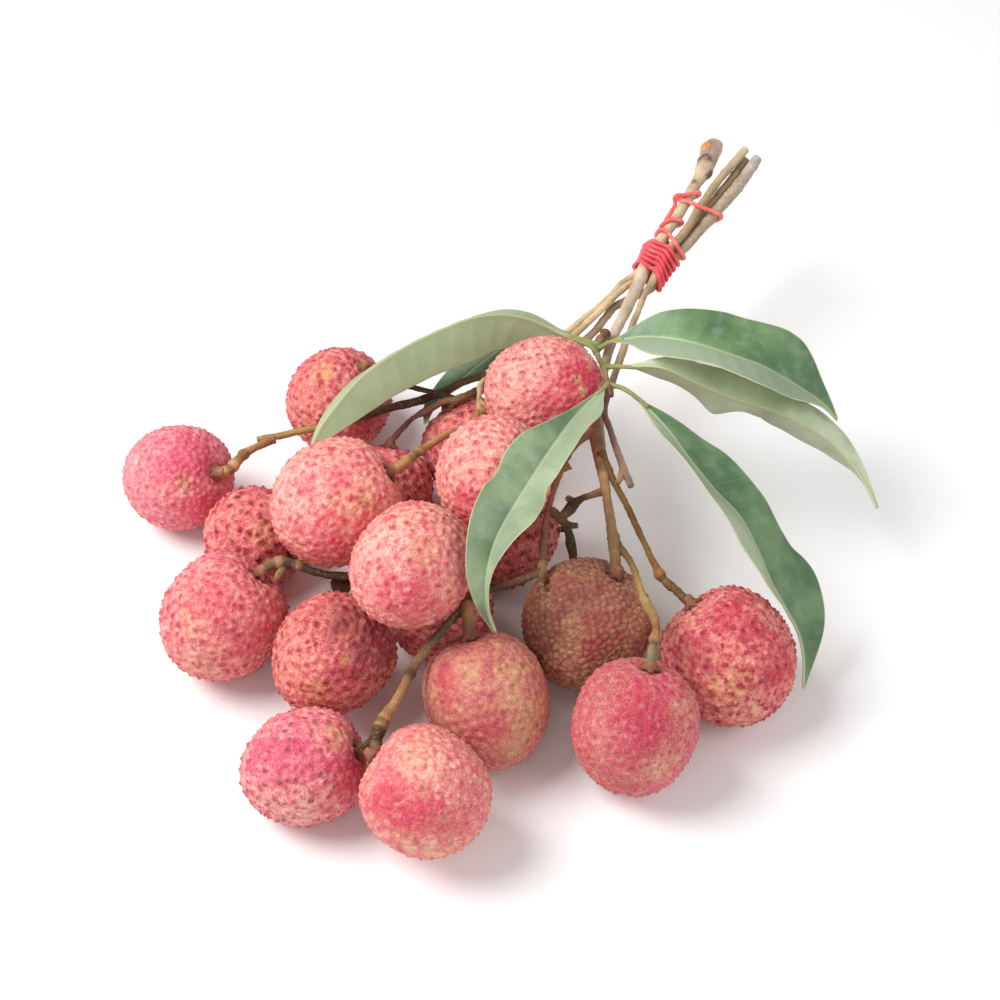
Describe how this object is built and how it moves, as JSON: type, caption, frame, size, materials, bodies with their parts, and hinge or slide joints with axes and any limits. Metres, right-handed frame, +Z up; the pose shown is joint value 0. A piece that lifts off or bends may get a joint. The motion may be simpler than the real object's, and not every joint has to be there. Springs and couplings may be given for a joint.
{
  "type": "bunch of lychees",
  "caption": "Bunch of round, bumpy red lychees on thin woody twigs with one leaf of long leaflets, the cut stem ends tied with a rubber band. Lies flat, ready to pick from.",
  "frame": {"origin": "bottom centre of the bunch's bounding box, on the surface it lies on", "axes": "+Y from the fruit toward the cut stem ends as the bunch lies, +Z up, +X to the right seen from the fruit end"},
  "size_m": [0.2184, 0.2396, 0.0688],
  "materials": {
    "rind_blush": "dry, finely tuberculate rind, rose red over salmon, no gloss",
    "rind_pale": "dry tuberculate rind, pale salmon with crimson tips",
    "rind_deep": "dry tuberculate rind, deep crimson",
    "rind_tan": "dry tuberculate rind turned olive tan with red patches",
    "bark_beige": "dry knotty bark, pinkish beige, matte",
    "bark_brown": "dry bark, brown with golden ends, matte",
    "bark_tan": "dry bark, tan to olive, matte",
    "leaf_green": "leathery leaf, soft sheen above, paler and matt beneath",
    "band_coral": "smooth coral red rubber, soft sheen"
  },
  "bodies": {
    "root": {"lychee_01": "rind_blush", "lychee_02": "rind_deep", "lychee_03": "rind_deep", "lychee_04": "rind_pale", "lychee_05": "rind_blush", "lychee_06": "rind_blush", "lychee_07": "rind_blush", "lychee_08": "rind_pale", "lychee_09": "rind_pale", "lychee_10": "rind_blush", "lychee_11": "rind_tan", "lychee_12": "rind_deep", "lychee_13": "rind_deep", "lychee_14": "rind_pale", "lychee_15": "rind_pale", "lychee_16": "rind_deep", "lychee_17": "rind_deep", "lychee_18": "rind_deep", "lychee_19": "rind_deep", "stem_main": "bark_beige", "stem_left": "bark_brown", "stem_middle": "bark_tan", "stem_inner": "bark_tan", "stem_bare": "bark_tan", "leaf": "leaf_green", "rubber_band": "band_coral"}
  },
  "joints": []
}
